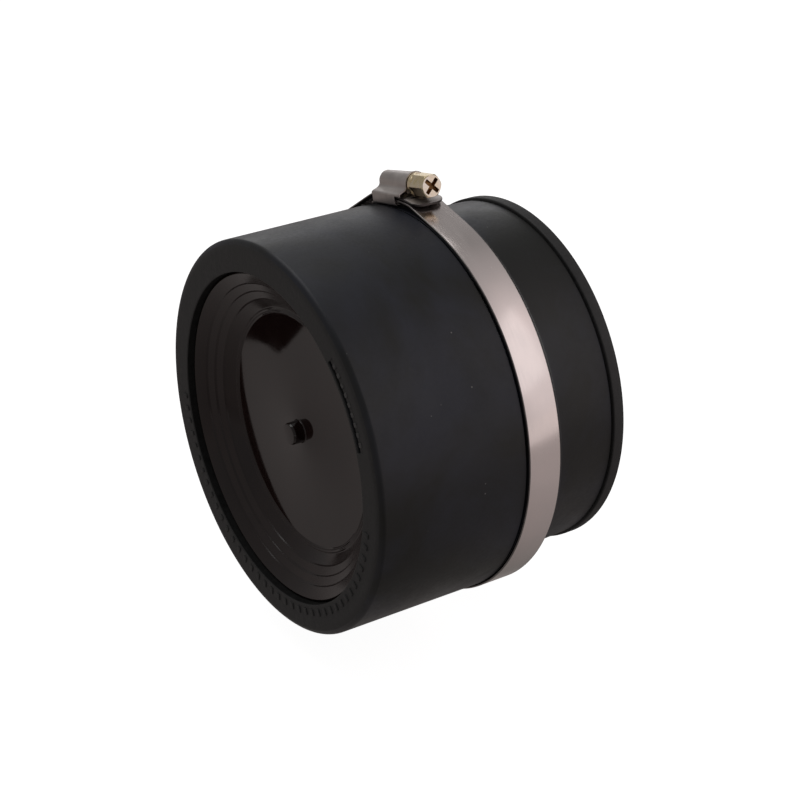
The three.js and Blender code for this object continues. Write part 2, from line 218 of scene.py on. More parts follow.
# Worm screw, along its own axis. The thread's half crest and its flank are shares of a pitch.
WORM_R = 2.55 * MM
WORM_ROOT_R = 1.9 * MM
THREAD_HALF_CREST = 0.14
THREAD_FLANK = 0.16
THREAD_MARGIN = 0.5 * MM
THREAD_FADE = 0.8 * MM
WORM_START = -5 * MM
WORM_END = 9.6 * MM
NECK_R = 1.9 * MM
NECK_HOLE_R = 2.3 * MM
PILOT_R = 1.2 * MM
PILOT_START = -6.4 * MM
PILOT_HOLE_R = 1.6 * MM
COLLAR_START = 11.3 * MM
COLLAR_END = 13.2 * MM
COLLAR_R = 3.8 * MM
HEX_START = 12.7 * MM
HEX_END = 20.3 * MM
HEX_FLATS = 7 * MM
HEX_CORNER_R = HEX_FLATS / 2 / math.cos(math.radians(30))
HEX_EDGE = 0.12 * MM
HEX_CHAMFER = 0.6 * MM
HEX_CONE_SLOPE = 0.95
RECESS_LENGTH = 6 * MM
RECESS_WIDTH = 1.4 * MM
RECESS_CORNER = 0.3 * MM
RECESS_DEPTH = 1.8 * MM

# Fineness: counts, millimetres and degrees between neighbouring points
BODY_STEPS = 240
FACE_RINGS = 30
FACE_RING_STEP = 0.14 * MM
PANEL_END_REACH = 0.45
PANEL_END_STEP = 0.07
STRAP_STEP = 0.5
FINE_STEP = 0.2
SMALL_STEPS = 48
ARCH_STEPS = 18
FLARE_STEPS = 8
THREAD_STEPS = 150
CONE_STEPS = 6
TINY = 0.01 * MM

# Painted reflection of the floor on the rubber's underside: paler towards the bottom, by height
FLOOR_LIGHT_TOP = -40 * MM
FLOOR_LIGHT_FULL = -62 * MM

# Camera: where it stands and which way it looks
CAMERA_PLACE = Vector((-0.37505, -0.49249, 0.30206))
CAMERA_AIM = Vector((0.494, 0.7413, -0.4543))
CAMERA_LENS = 89.76

# Floor. In reflections its tone goes by how far it lies from the origin towards one side.
FLOOR_DROP = 13 * MM
FLOOR_SIZE = 30
FLOOR_WHITE = 0.93
FLOOR_SHADOW = 0.35
FLOOR_BRIGHTNESS = 0.68
EDGE_SIDE = Vector((0.55, -0.83, 0))
FLOOR_TONES = (
    (0.0, (0.41, 0.375, 0.363)),
    # A painted shadow: just past the object the tone dips darker
    (0.02, (0.24, 0.225, 0.215)),
    (0.065, (0.37, 0.332, 0.325)),
    (0.16, (0.47, 0.42, 0.412)),
    (0.46, (0.49, 0.437, 0.428)),
    (0.475, (0.97, 0.87, 0.855)),
)

# A wide soft shade on the floor in front of the closed end, only in reflections
SHADED_PLACE = Vector((-0.38, -0.2, 0))
SHADED_SIZE = (0.4, 0.4)
SHADED_TONES = (
    (0.3, (0.66, 0.66, 0.66)),
    (1.0, (1, 1, 1)),
)

# A dark thing on the floor beyond the closed end, which the glossy plug reflects
DARK_SPOT = Vector((-0.194, 0.216, 0))
DARK_SPOT_SIZE = (0.043, 0.028)
DARK_SPOT_TONES = (
    (0.9, (0.01, 0.01, 0.01)),
    (0.96, (1, 1, 1)),
)

# Studio light round the scene, by how far a direction turns towards the bright side
BRIGHT_SIDE = Vector((0.62, -0.68, 0.42))
WORLD_TONES = (
    (0.0, (0.25, 0.244, 0.241)),
    (0.45, (0.22, 0.215, 0.213)),
    (0.75, (0.40, 0.375, 0.373)),
    (0.95, (0.70, 0.635, 0.635)),
)

# A backdrop on the far side of the coupling, added to that light
BACKDROP_SIDE = Vector((0.6, 0.8, 0.0))
BACKDROP_TONES = (
    (0.6, (0.0, 0.0, 0.0)),
    (0.89, (0.02, 0.02, 0.0205)),
    (0.975, (0.9, 0.9, 0.91)),
)

# Softboxes: name, place, size and watts
SOFTBOXES = (
    ("top_softbox", (-0.15, 0.45, 0.9), (0.9, 0.6), 2.5),
    ("front_softbox", (0.5, -0.9, 0.7), (0.8, 0.8), 0.4),
    ("side_softbox", (1.1, 0.05, 0.12), (0.6, 0.3), 1.8),
)


# Outlines and mesh building

def depth(s):
    """The X of a depth measured from the closed end's face."""
    return CLOSED_X + s


def rounded(corners, steps=6):
    """The outline through corners (x, y, radius), each rounded by its radius."""
    outline = []
    for i, (x, y, radius) in enumerate(corners):
        here = Vector((x, y))
        if radius == 0:
            outline.append(here)
            continue
        before = (Vector(corners[i - 1][:2]) - here).normalized()
        after = (Vector(corners[(i + 1) % len(corners)][:2]) - here).normalized()
        half = before.angle(after) / 2
        centre = here + (before + after).normalized() * (radius / math.sin(half))
        start = here + before * (radius / math.tan(half)) - centre
        end = here + after * (radius / math.tan(half)) - centre
        turn = math.atan2(start.x * end.y - start.y * end.x, start.dot(end))
        for k in range(steps + 1):
            outline.append(centre + Matrix.Rotation(turn * k / steps, 2) @ start)
    return outline


def round_x(x, r, angle):
    """The point at a place along the X axis, a radius from it and an angle round it."""
    a = math.radians(angle)
    return Vector((x, -r * math.sin(a), r * math.cos(a)))


def inset(outline, distance):
    """A closed anticlockwise outline moved inwards."""
    moved = []
    for i, point in enumerate(outline):
        back = (point - outline[i - 1]).normalized()
        ahead = (outline[(i + 1) % len(outline)] - point).normalized()
        along = (back + ahead).normalized()
        moved.append(point + Vector((-along.y, along.x)) * distance)
    return moved


def about_x(outline, angles, shift=None):
    """One ring of points for each (x, r) of an outline turned about the X axis.

    A shift moves each point along the axis by an amount that depends on where it is.
    """
    rings = []
    for x, r in outline:
        if r < 1e-7:
            rings.append([Vector((x, 0, 0))])
            continue
        sunk = [shift(x, r, angle) if shift else 0 for angle in angles]
        rings.append([round_x(x + drop, r, angle) for drop, angle in zip(sunk, angles)])
    return rings


def full_circle(steps):
    return [360 * i / steps for i in range(steps)]


def skin(bm, rings, closed):
    """Faces between neighbouring rings; the last joins the first when closed, or both are capped."""
    rows = [[bm.verts.new(point) for point in ring] for ring in rings]
    for a, b in zip(rows, rows[1:] + (rows[:1] if closed else [])):
        count = max(len(a), len(b))
        for i in range(count):
            j = (i + 1) % count
            corners = [a[i % len(a)], a[j % len(a)], b[j % len(b)], b[i % len(b)]]
            distinct = list(dict.fromkeys(corners))
            if len(distinct) > 2:
                bm.faces.new(distinct)
    if not closed:
        for row in (rows[0], rows[-1]):
            if len(row) > 2:
                bm.faces.new(row)


def prism(bm, outline, low, high, bevel, place, steps=3):
    """A solid on an outline in the XY plane, its top edge rounded by the bevel, then placed."""
    rings = [[place @ Vector((p.x, p.y, low)) for p in outline]]
    for k in range(steps + 1):
        turn = math.pi / 2 * k / steps
        shape = inset(outline, bevel * (1 - math.cos(turn)))
        height = high - bevel * (1 - math.sin(turn))
        rings.append([place @ Vector((p.x, p.y, height)) for p in shape])
    skin(bm, rings, closed=False)


def rectangle(length, width, corner, steps=4):
    x, y = length / 2, width / 2
    return rounded([(-x, -y, corner), (x, -y, corner), (x, y, corner), (-x, y, corner)], steps)


def mesh_object(name, bm, crease=32):
    """An object from a finished bmesh: outward faces, smooth up to the crease angle."""
    bmesh.ops.remove_doubles(bm, verts=bm.verts, dist=1e-7)
    bmesh.ops.recalc_face_normals(bm, faces=bm.faces)
    mesh = bpy.data.meshes.new(name)
    bm.to_mesh(mesh)
    bm.free()
    mesh.shade_smooth()
    mesh.set_sharp_from_angle(angle=math.radians(crease))
    obj = bpy.data.objects.new(name, mesh)
    bpy.context.scene.collection.objects.link(obj)
    return obj


def cut(obj, bm, crease=32):
    """Cuts a bmesh of closed solids out of an object, for good."""
    cutter = mesh_object("cutter", bm)
    modifier = obj.modifiers.new("cut", "BOOLEAN")
    modifier.operation = "DIFFERENCE"
    modifier.solver = "EXACT"
    modifier.object = cutter
    shown = obj.evaluated_get(bpy.context.evaluated_depsgraph_get())
    mesh = bpy.data.meshes.new_from_object(shown)
    mesh.name = obj.name
    obj.modifiers.clear()
    obj.data = mesh
    bpy.data.objects.remove(cutter)
    mesh.shade_smooth()
    mesh.set_sharp_from_angle(angle=math.radians(crease))
    return obj


def piece(obj, body, looks, replaces=(), look_of=None):
    """Gives an object its looks and its place in the frame."""
    for look in looks:
        obj.data.materials.append(look)
    if look_of:
        for face in obj.data.polygons:
            face.material_index = look_of(face)
    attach(obj, body)
    if replaces:
        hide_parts(*replaces)


# Materials

class Nodes:
    """A node tree, with short names for the nodes that are used here."""

    def __init__(self, tree, coordinates="Object"):
        self.tree = tree
        self.place = self.node("ShaderNodeTexCoord").outputs[coordinates]

    def node(self, kind, inputs=None, **settings):
        made = self.tree.nodes.new(kind)
        for key, value in settings.items():
            setattr(made, key, value)
        for key, value in (inputs or {}).items():
            if isinstance(value, bpy.types.NodeSocket):
                self.tree.links.new(value, made.inputs[key])
            else:
                made.inputs[key].default_value = value
        return made

    def noise(self, scale, detail=2, rough=0.5, vector=None, distortion=0):
        inputs = {
            "Vector": vector or self.place,
            "Scale": scale,
            "Detail": detail,
            "Roughness": rough,
            "Distortion": distortion,
        }
        return self.node("ShaderNodeTexNoise", inputs).outputs["Fac"]

    def span(self, value, low, high, to_low=0.0, to_high=1.0):
        inputs = {"Value": value, 1: low, 2: high, 3: to_low, 4: to_high}
        return self.node("ShaderNodeMapRange", inputs, clamp=True).outputs["Result"]

    def math(self, operation, a, b):
        return self.node("ShaderNodeMath", {0: a, 1: b}, operation=operation).outputs[0]

    def vector_math(self, operation, a, b=(0, 0, 0)):
        made = self.node("ShaderNodeVectorMath", {0: a, 1: b}, operation=operation)
        return made.outputs["Value" if operation in ("LENGTH", "DOT_PRODUCT") else "Vector"]

    def blend(self, factor, a, b):
        made = self.node("ShaderNodeMix", data_type="RGBA")
        for index, value in ((0, factor), (6, a), (7, b)):
            if isinstance(value, bpy.types.NodeSocket):
                self.tree.links.new(value, made.inputs[index])
            else:
                made.inputs[index].default_value = value if index == 0 else (*value, 1)
        return made.outputs[2]

    def tone(self, value, stops):
        """A colour that goes with a value through stops, each (value, (r, g, b))."""
        made = self.node("ShaderNodeValToRGB", {0: value})
        elements = made.color_ramp.elements
        elements.remove(elements[1])
        elements[0].position = stops[0][0]
        elements[0].color = (*stops[0][1], 1)
        for at, colour in stops[1:]:
            elements.new(at).color = (*colour, 1)
        return made.outputs["Color"]

    def bump(self, height, strength, distance, under=None):
        inputs = {"Height": height, "Strength": strength, "Distance": distance}
        if under:
            inputs["Normal"] = under
        return self.node("ShaderNodeBump", inputs).outputs["Normal"]


class Look(Nodes):
    """A material round one Principled shader."""

    def __init__(self, name, **sockets):
        self.material = bpy.data.materials.new(name)
        self.material.use_nodes = True
        super().__init__(self.material.node_tree)
        self.shader = self.tree.nodes["Principled BSDF"]
        for socket, value in sockets.items():
            self.shader.inputs[socket.replace("_", " ")].default_value = value

    def wire(self, **sockets):
        for socket, value in sockets.items():
            self.tree.links.new(value, self.shader.inputs[socket.replace("_", " ")])
        return self.material


def specks(look, scale, size):
    """1 in a few small spots scattered through space, 0 elsewhere."""
    inputs = {"Vector": look.place, "Scale": scale}
    cells = look.node("ShaderNodeTexVoronoi", inputs)
    near = look.span(cells.outputs["Distance"], size * 0.5, size, 1, 0)
    pick = look.node("ShaderNodeSeparateColor", {"Color": cells.outputs["Color"]})
    return look.math("MULTIPLY", near, look.span(pick.outputs[0], 0.25, 1))


def rubber_look():
    """Moulded black rubber with bluish clouds, duller patches, specks and an underside painted paler, a
    painted floor reflection.
    """
    look = Look("rubber_moulded", Specular_IOR_Level=0.42)
    clouds = look.noise(22, 4, 0.6, distortion=0.6)
    tint = look.blend(look.span(clouds, 0.4, 0.64), (0.005, 0.0056, 0.005), (0.013, 0.0155, 0.025))
    height = look.node("ShaderNodeSeparateXYZ", {0: look.place}).outputs["Z"]
    smear = look.span(look.noise(40, 5, 0.65, distortion=1), 0.35, 0.65, 0.3, 1)
    # Painted reflection: the rubber turns paler towards the bottom, as if lit from the floor
    painted_floor_light = look.math("MULTIPLY", look.span(height, FLOOR_LIGHT_TOP, FLOOR_LIGHT_FULL), smear)
    shade = look.blend(painted_floor_light, tint, (0.062, 0.059, 0.057))
    colour = look.blend(specks(look, 120, 0.04), shade, (0.14, 0.14, 0.137))
    grain = look.noise(900, 4, 0.6)
    patches = look.span(look.noise(24, 4, 0.6, distortion=0.4), 0.3, 0.7, 0.35, 0.53)
    rough = look.math("ADD", patches, look.span(grain, 0.3, 0.7, -0.03, 0.05))
    wavy = look.bump(look.noise(28, 2), 0.25, 0.0006)
    normal = look.bump(grain, 0.12, 0.0002, wavy)
    return look.wire(Base_Color=colour, Roughness=rough, Normal=normal)


def rubber_face_look():
    """The rougher, mottled rubber of the two end faces."""
    look = Look("rubber_cut_face", Specular_IOR_Level=0.42)
    mottle = look.noise(520, 6, 0.68)
    stain = look.noise(60, 4, 0.6)
    tint = look.blend(look.span(mottle, 0.35, 0.7), (0.011, 0.0112, 0.0116), (0.032, 0.0322, 0.0326))
    shade = look.blend(look.span(stain, 0.4, 0.7), tint, (0.022, 0.0222, 0.0226))
    colour = look.blend(specks(look, 150, 0.04), shade, (0.2, 0.2, 0.195))
    rough = look.span(mottle, 0.3, 0.7, 0.5, 0.68)
    coarse = look.bump(look.noise(300, 5, 0.7), 0.35, 0.0003)
    normal = look.bump(look.noise(1300, 4, 0.6), 0.25, 0.0002, coarse)
    return look.wire(Base_Color=colour, Roughness=rough, Normal=normal)


def plug_look():
    """Glossy black plastic, smeared, and duller on the flank than on the disc."""
    look = Look("plug_gloss", Specular_IOR_Level=0.46)
    smudge = look.noise(35, 5, 0.62, distortion=0.8)
    colour = look.blend(look.span(smudge, 0.3, 0.7), (0.011, 0.005, 0.0045), (0.018, 0.0095, 0.0085))
    fine = look.noise(1400, 3, 0.6)
    radius = look.vector_math("LENGTH", look.vector_math("MULTIPLY", look.place, (0, 1, 1)))
    worn = look.span(radius, DISC_R, DISC_R + 4 * MM, 0, 0.15)
    smears = look.span(smudge, 0.35, 0.7, 0.02, 0.06)
    clean = look.math("ADD", smears, look.span(fine, 0.3, 0.7, 0, 0.015))
    rough = look.math("ADD", clean, worn)
    wavy = look.bump(look.noise(40, 2), 0.06, 0.0005)
    normal = look.bump(fine, 0.015, 0.0001, wavy)
    return look.wire(Base_Color=colour, Roughness=rough, Normal=normal)


def rolled(look, across_scale, along_scale):
    """Fine streaks that run round the strap, constant along it for a few centimetres."""
    parts = look.node("ShaderNodeSeparateXYZ", {0: look.place})
    angle = look.math("ARCTAN2", parts.outputs["Y"], parts.outputs["Z"])
    inputs = {
        "X": look.math("MULTIPLY", parts.outputs["X"], across_scale),
        "Y": look.math("MULTIPLY", angle, along_scale),
    }
    spread = look.node("ShaderNodeCombineXYZ", inputs).outputs[0]
    return look.noise(1, 4, 0.6, vector=spread)


def strap_look():
    """Bright rolled steel, streaked along the strap."""
    look = Look("strap_steel", Metallic=1.0, Anisotropic=0.35)
    streaks = rolled(look, 3500, 5)
    haze = look.noise(55, 4, 0.6)
    colour = look.blend(look.span(haze, 0.3, 0.7), (0.90, 0.815, 0.79), (0.84, 0.775, 0.755))
    rough = look.math("ADD", look.span(streaks, 0.3, 0.7, 0.13, 0.24), look.span(haze, 0.4, 0.7, 0, 0.06))
    wavy = look.bump(look.noise(60, 2), 0.08, 0.0004)
    normal = look.bump(streaks, 0.05, 0.0001, wavy)
    return look.wire(Base_Color=colour, Roughness=rough, Normal=normal)


def noise_toned_look(name, scale, dark, light, roughness, **sockets):
    """A look whose colour and roughness follow one noise."""
    look = Look(name, **sockets)
    stain = look.noise(scale, 4, 0.6)
    colour = look.blend(look.span(stain, 0.3, 0.7), dark, light)
    rough = look.span(stain, 0.3, 0.7, *roughness)
    return look.wire(Base_Color=colour, Roughness=rough)


def painted_shade_steel_look(name, dark, light):
    """Painted shade on steel: the strap's inner side, its cut edges and the tail's top."""
    return noise_toned_look(name, 300, dark, light, (0.38, 0.52), Metallic=1.0)


def painted_shade_recess_look():
    """Darker, duller black rubber inside the recess where the plug sits: painted shade."""
    dark, light = (0.009, 0.009, 0.009), (0.018, 0.018, 0.018)
    return noise_toned_look("recess_painted_shade", 400, dark, light, (0.6, 0.75), Specular_IOR_Level=0.12)


def rubber_scuff_look():
    """The rougher, paler rubber of the marks in the panel."""
    look = Look("rubber_scuffed", Specular_IOR_Level=0.45)
    mottle = look.noise(900, 5, 0.7)
    colour = look.blend(look.span(mottle, 0.35, 0.65), (0.014, 0.0142, 0.0146), (0.07, 0.07, 0.07))
    rough = look.span(mottle, 0.3, 0.7, 0.45, 0.6)
    normal = look.bump(mottle, 0.5, 0.0003)
    return look.wire(Base_Color=colour, Roughness=rough, Normal=normal)


def housing_look():
    """Pressed steel, duller than the strap and drawn along the screw."""
    look = Look("housing_steel", Metallic=1.0, Anisotropic=0.2)
    stretch = look.node("ShaderNodeMapping", {"Vector": look.place, "Scale": (900, 220, 900)})
    streaks = look.noise(1, 4, 0.65, vector=stretch.outputs[0])
    stain = look.noise(220, 4, 0.6)
    colour = look.blend(look.span(stain, 0.3, 0.7), (0.60, 0.555, 0.53), (0.48, 0.44, 0.42))
    rough = look.span(streaks, 0.3, 0.7, 0.30, 0.44)
    normal = look.bump(streaks, 0.18, 0.00015)
    return look.wire(Base_Color=colour, Roughness=rough, Normal=normal)


def zinc_look():
    """Yellow zinc plating with greenish clouds."""
    look = Look("screw_zinc", Metallic=1.0)
    flow = look.noise(260, 3, 0.55, distortion=1.5)
    gold = look.blend(look.span(flow, 0.35, 0.6), (0.86, 0.70, 0.42), (0.93, 0.80, 0.60))
    colour = look.blend(look.span(look.noise(420, 2), 0.55, 0.75), gold, (0.66, 0.62, 0.36))
    rough = look.span(look.noise(900, 4, 0.6), 0.3, 0.7, 0.22, 0.36)
    normal = look.bump(look.noise(1500, 3), 0.12, 0.0001)
    return look.wire(Base_Color=colour, Roughness=rough, Normal=normal)


def painted_highlight_face_look():
    """The screw's end face: plating painted paler as a painted highlight, and duller."""
    look = Look("screw_end_painted_highlight", Metallic=1.0)
    flow = look.noise(300, 3, 0.55, distortion=1.2)
    colour = look.blend(look.span(flow, 0.35, 0.65), (1.0, 0.93, 0.84), (0.97, 0.84, 0.66))
    rough = look.span(look.noise(900, 4, 0.6), 0.3, 0.7, 0.34, 0.46)
    normal = look.bump(look.noise(1500, 3), 0.12, 0.0001)
    return look.wire(Base_Color=colour, Roughness=rough, Normal=normal)


def zinc_shade_look():
    """Zinc painted darker on the sides of the screw's head that face down: painted shade."""
    dark, light = (0.10, 0.075, 0.045), (0.26, 0.21, 0.14)
    return noise_toned_look("screw_underside_painted_shade", 500, dark, light, (0.3, 0.45), Metallic=1.0)


def zinc_recess_look():
    """Darker brown zinc in the screw's cross recess."""
    dark, light = (0.26, 0.13, 0.05), (0.40, 0.24, 0.11)
    return noise_toned_look("screw_recess", 700, dark, light, (0.45, 0.6), Metallic=1.0)


# Rubber body

def ramp(value, edge, width):
    """0 before an edge and 1 after it, smooth over a width."""
    k = min(max((value - edge) / width + 0.5, 0), 1)
    return k * k * (3 - 2 * k)


def between(value, low, high, width):
    return ramp(value, low, width) * (1 - ramp(value, high, width))


def panel_drop(x, r, angle):
    """How deep the panel and its groove lie below the closed end's face."""
    if x > depth(TINY) or not GROOVE_R[0] - MM < r < PANEL_R[1] + MM:
        return 0
    inside = between(angle, PANEL_FIRST, PANEL_LAST, PANEL_END_SLOPE)
    panel = PANEL_DEPTH * between(r, *PANEL_R, PANEL_SLOPE)
    groove = GROOVE_DEPTH * between(r, *GROOVE_R, GROOVE_SLOPE)
    return inside * max(panel, groove)


def face_corner(steps=14):
    """The closed end's rounded corner: a quarter of an ellipse, as (depth, radius)."""
    axial, radial = FACE_CORNER
    turns = [math.pi / 2 * k / steps for k in range(steps + 1)]
    return [(axial * (1 - math.cos(a)), FACE_OUTER_R - radial * (1 - math.sin(a))) for a in turns]


def body_outline():
    """The closed section of the body, with close points on the face for the panel."""
    seat = THICK_END + CHANNEL_WIDTH
    lip = SLEEVE_END + LIP_GROOVE_WIDTH
    groove_r = SLEEVE_END_R - LIP_GROOVE_DEPTH
    start = RECESS_R + RECESS_EDGE
    corners = [(0, RECESS_R, RECESS_EDGE)]
    corners += [(0, start + FACE_RING_STEP * i, 0) for i in range(1, FACE_RINGS + 1)]
    corners += [(x, r, 0) for x, r in face_corner()]
    corners += [
        (THICK_END, THICK_END_R, THICK_EDGE),
        (THICK_END, CHANNEL_R, 0.1 * MM),
        (seat, CHANNEL_R, 0.1 * MM),
        (seat, SEAT_R, 0.2 * MM),
        (SEAT_END, SEAT_R, SHOULDER_EDGE),
        (SEAT_END, SLEEVE_START_R, SHOULDER_FILLET),
        (SLEEVE_END, SLEEVE_END_R, 0.2 * MM),
        (SLEEVE_END + 0.05 * MM, groove_r, 0.1 * MM),
        (lip - 0.05 * MM, groove_r, 0.1 * MM),
        (lip, LIP_R, LIP_EDGE),
        (LENGTH, LIP_R, LIP_EDGE),
        (LENGTH, BORE_R + MOUTH_CHAMFER, 0.4 * MM),
        (LENGTH - MOUTH_CHAMFER, BORE_R, 0.4 * MM),
    ]
    for rib in RIB_STARTS:
        corners.append((rib, BORE_R, 0.2 * MM))
        corners.append((rib - RIB_WIDTH / 2, BORE_R - RIB_HEIGHT, 0.4 * MM))
        corners.append((rib - RIB_WIDTH, BORE_R, 0.2 * MM))
    corners += [
        (LEDGE_END, BORE_R, 0.5 * MM),
        (LEDGE_END, LEDGE_R, 0.8 * MM),
        (LEDGE_START, LEDGE_R, 0.3 * MM),
        (LEDGE_START, RECESS_R, 0.4 * MM),
    ]
    return [(depth(p.x), p.y) for p in rounded(corners, 8)]


def body_angles():
    """Even steps round the body, with close ones at the panel's two ends."""
    angles = full_circle(BODY_STEPS)
    for end in (PANEL_FIRST, PANEL_LAST):
        angles = [a for a in angles if abs(a - end) > PANEL_END_REACH]
        angles += [end + PANEL_END_STEP * i for i in range(-4, 5)]
    return sorted(angles)


def body_look_of(face):
    """Index 1, rougher, on the closed end's face and the end lip; index 2, painted shade, inside the
    recess.
    """
    x, r = face.center.x, face.center.yz.length
    if x < depth(0.3 * MM) or x > depth(SLEEVE_END + LIP_GROOVE_WIDTH - 0.2 * MM):
        return 1
    return 2 if x < depth(LEDGE_START) and r < RECESS_R + 0.5 * MM else 0


def make_body(looks):
    bm = bmesh.new()
    skin(bm, about_x(body_outline(), body_angles(), panel_drop), closed=True)
    body = mesh_object("rubber_body", bm)
    piece(body, "coupling", looks, ["coupling_body"], body_look_of)


def on_face(radius, angle):
    """Places a pad made in the XY plane on the closed end's face, its X pointing outwards."""
    outwards = round_x(0, 1, angle)
    up = Vector((-1, 0, 0))
    side = up.cross(outwards)
    place = Matrix((outwards, side, up)).transposed().to_4x4()
    place.translation = Vector((CLOSED_X, 0, 0)) + outwards * radius
    return place


def make_bars(look):
    bm = bmesh.new()
    pad = rectangle(BAR_LENGTH, BAR_WIDTH, BAR_CORNER)
    for i in range(BAR_COUNT):
        angle = BAR_FIRST + (BAR_LAST - BAR_FIRST) * i / (BAR_COUNT - 1)
        prism(bm, pad, BAR_ROOT, BAR_HEIGHT, BAR_BEVEL, on_face(BAR_R, angle))
    piece(mesh_object("raised_bars", bm), "coupling", [look])


def make_panel_marks(look):
    bm = bmesh.new()
    pad = rectangle(MARK_LENGTH, MARK_WIDTH, MARK_CORNER)
    middle = sum(PANEL_R) / 2 + MARK_SHIFT
    pitch = (PANEL_LAST - PANEL_FIRST) / (MARK_COUNT - 1 + 2 * MARK_MARGIN)
    for i in range(MARK_COUNT):
        angle = PANEL_FIRST + pitch * (i + MARK_MARGIN)
        prism(bm, pad, MARK_ROOT, MARK_TOP, MARK_BEVEL, on_face(middle, angle))
    piece(mesh_object("panel_marks", bm), "coupling", [look])


# Plug

def flank_depth(r):
    """Depth of the plug's flank, which runs in straight from the rim to the disc."""
    return PLUG_FRONT + (PLUG_R - r) / (PLUG_R - DISC_R) * (DISC_DEPTH - PLUG_FRONT)


def plug_outline():
    nub_top = DISC_DEPTH - NUB_HEIGHT
    front = [
        (nub_top, 0, 0),
        (nub_top, NUB_R - 0.5 * MM, 0.3 * MM),
        (nub_top + 0.7 * MM, NUB_R - 0.1 * MM, 0.3 * MM),
        (DISC_DEPTH, NUB_R, 0.5 * MM),
        (DISC_DEPTH, DISC_R, 0.15 * MM),
        (DISC_DEPTH - BEAD_HEIGHT, DISC_R + 0.25 * BEAD_WIDTH, 0.2 * MM),
        (DISC_DEPTH - 0.2 * BEAD_HEIGHT, DISC_R + 0.5 * BEAD_WIDTH, 0.15 * MM),
        (DISC_DEPTH - BEAD_HEIGHT, DISC_R + 0.75 * BEAD_WIDTH, 0.2 * MM),
        (DISC_DEPTH - 0.2 * BEAD_HEIGHT, DISC_R + 1.1 * BEAD_WIDTH, 0.3 * MM),
    ]
    for r in reversed(STEP_RADII):
        front.append((flank_depth(r) + STEP_DROP / 2, r, 0.8 * MM))
        front.append((flank_depth(r) - STEP_DROP / 2, r + STEP_RUN, 0.5 * MM))
    inner = PLUG_R - PLUG_WALL
    rest = [
        (PLUG_FRONT, PLUG_R - 0.6 * MM, 0.25 * MM),
        (PLUG_FRONT + 0.5 * MM, PLUG_R, 0.3 * MM),
        (PLUG_BACK, PLUG_R, 0.3 * MM),
        (PLUG_BACK, inner, 0.3 * MM),
        (flank_depth(inner) + PLUG_WALL, inner, 0.8 * MM),
        (DISC_DEPTH + PLUG_WALL, DISC_R, 0.8 * MM),
        (DISC_DEPTH + PLUG_WALL, 0, 0),
    ]
    return [(depth(p.x), p.y) for p in rounded(front + rest, 5)]


def make_plug(look):
    bm = bmesh.new()
    skin(bm, about_x(plug_outline(), full_circle(BODY_STEPS)), closed=False)
    piece(mesh_object("plug_shell", bm), "plug", [look], ["end_plug"])


# Clamp: made upright, with X across the strap, -Y towards the screw's head and Z up

CLAMP_PLACE = Matrix.Translation((CLAMP_X, 0, 0)) @ Matrix.Rotation(CLAMP_TILT, 4, "X")


def swept(bm, path, section, width_at=None):
    """Sweeps a section (across, out) along a path in the YZ plane, outwards from the axis."""
    rings = []
    for i, point in enumerate(path):
        along = (path[min(i + 1, len(path) - 1)] - path[max(i - 1, 0)]).normalized()
        out = Vector((1, 0, 0)).cross(along)
        out = out if out.dot(point) > 0 else -out
        ratio = width_at(i) if width_at else 1
        rings.append([point + Vector((p.x * ratio, 0, 0)) + out * p.y for p in section])
    skin(bm, [[CLAMP_PLACE @ p for p in ring] for ring in rings], closed=False)


def strap_radius(angle):
    """The strap's radius: lower layer, tangent line, circle, tangent line, upper layer."""
    feed_bend = 360 + FEED_BEND
    fixed_meets = FIXED_BEND + math.degrees(math.acos(STRAP_R / LOWER_R))
    feed_meets = feed_bend - math.degrees(math.acos(STRAP_R / UPPER_R))
    if angle < FIXED_BEND:
        return LOWER_R
    if angle < fixed_meets:
        return STRAP_R / math.cos(math.radians(fixed_meets - angle))
    if angle < feed_meets:
        return STRAP_R
    if angle < feed_bend:
        return STRAP_R / math.cos(math.radians(angle - feed_meets))
    return UPPER_R


def eased_radius(angle, reach=1.2, steps=8):
    """The strap's radius with its bends eased over a few degrees."""
    spread = [reach * (2 * i / steps - 1) for i in range(steps + 1)]
    return sum(strap_radius(angle + offset) for offset in spread) / len(spread)


def angles_between(first, last, step):
    count = math.ceil((last - first) / step)
    return [first + (last - first) * i / count for i in range(count + 1)]


def strap_section(width=STRAP_WIDTH, thickness=STRAP_THICKNESS, edge=STRAP_EDGE):
    return rectangle(width, thickness, edge, 3)


def slot_cutter(bm, angle, r):
    """A slot's outline standing through the strap, leaning with the worm's thread."""
    outline = rectangle(SLOT_LENGTH, SLOT_WIDTH, SLOT_CORNER, 3)
    stand = Matrix.Rotation(math.radians(angle), 4, "X") @ Matrix.Translation((0, 0, r))
    place = CLAMP_PLACE @ stand @ Matrix.Rotation(math.radians(-SLOT_LEAN), 4, "Z")
    prism(bm, outline, -SLOT_REACH, SLOT_REACH, TINY, place, 1)


def strap_look_of(face):
    """Index 1, the dark look, on the strap's inner side; index 2, the edge look, on its edges: painted
    shade.
    """
    outwards = Vector((0, face.center.y, face.center.z)).normalized()
    turned_out = face.normal.dot(outwards)
    if turned_out < -0.5:
        return 1
    return 2 if turned_out < 0.6 or abs(face.normal.x) > 0.1 else 0


def make_strap(looks):
    bm = bmesh.new()
    path = [round_x(0, eased_radius(a), a) for a in angles_between(FIXED_TIP, 360 + FEED_END, STRAP_STEP)]
    swept(bm, path, strap_section())
    strap = mesh_object("strap_loop", bm)
    bm = bmesh.new()
    angle = 360 + FEED_END - math.degrees(FEED_MARGIN / UPPER_R)
    for _ in range(FEED_SLOTS):
        r = eased_radius(angle)
        slot_cutter(bm, angle, r)
        angle -= math.degrees(SLOT_PITCH / r)
    piece(cut(strap, bm), "clamp", looks, ["clamp_band"], strap_look_of)


